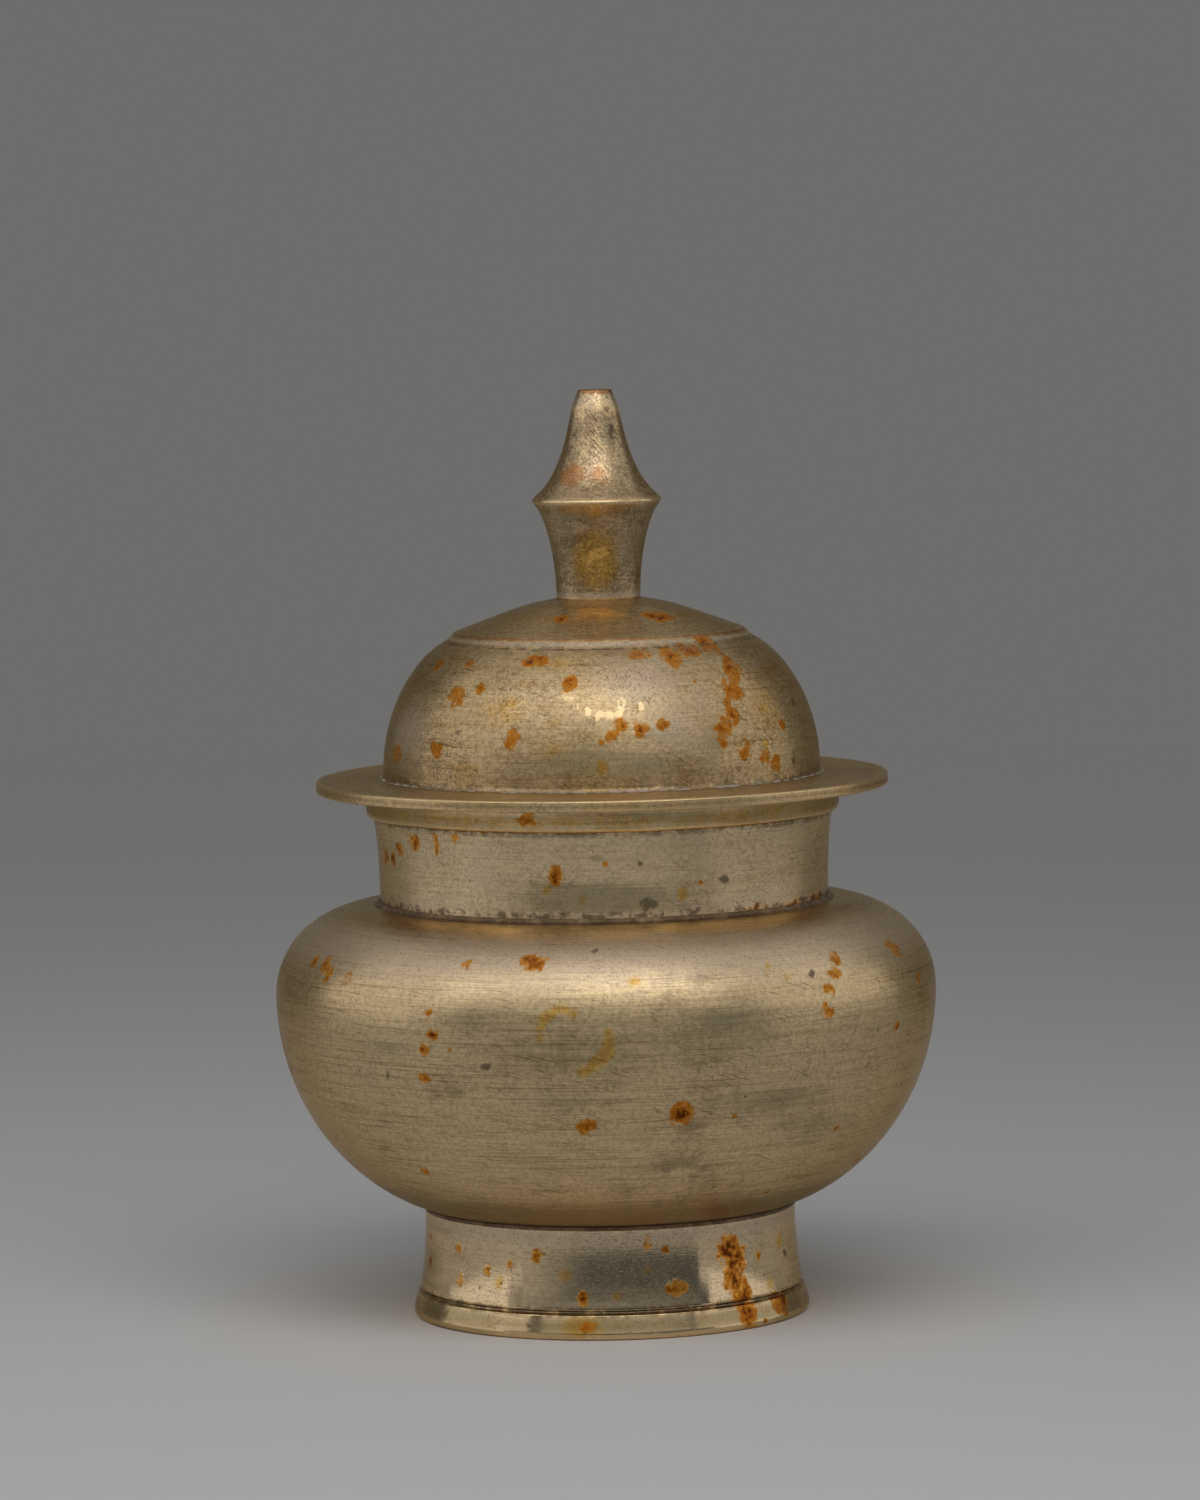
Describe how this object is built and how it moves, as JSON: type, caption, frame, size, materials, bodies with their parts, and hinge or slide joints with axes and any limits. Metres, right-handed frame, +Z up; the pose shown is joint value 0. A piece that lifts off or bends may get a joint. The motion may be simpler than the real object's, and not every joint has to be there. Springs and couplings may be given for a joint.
{
  "type": "lidded offering pot",
  "caption": "Round-bellied brass offering pot on a foot ring, with a short lipped neck and a lift-off domed lid whose wide brim covers the lip and whose tall spired finial is the grip.",
  "frame": {"origin": "on the table, under the middle of the foot ring", "axes": "+Z up along the pot's turning axis, +Y away from the camera, +X to the right"},
  "size_m": [0.0912, 0.0912, 0.1276],
  "materials": {
    "pot_brass": "tarnished, fine turning lines, brown spots",
    "lid_brass": "tarnished, brushed round the dome, worn bright on the edges",
    "finial_brass": "tarnished, filed and scratched",
    "solder": "dull, crusted"
  },
  "bodies": {
    "pot": {"foot_ring": "pot_brass", "foot_solder_fillet": "solder", "bowl": "pot_brass", "neck_solder_fillet": "solder", "neck_collar": "pot_brass"},
    "lid": {"lid_shell": "lid_brass", "lid_bezel": "lid_brass", "finial": "finial_brass", "finial_washer": "finial_brass"}
  },
  "joints": [
    {"name": "lid_lift", "type": "slide", "parent": "pot", "child": "lid", "axis": [0, 0, 1], "range_m": [0, 0.08]}
  ]
}
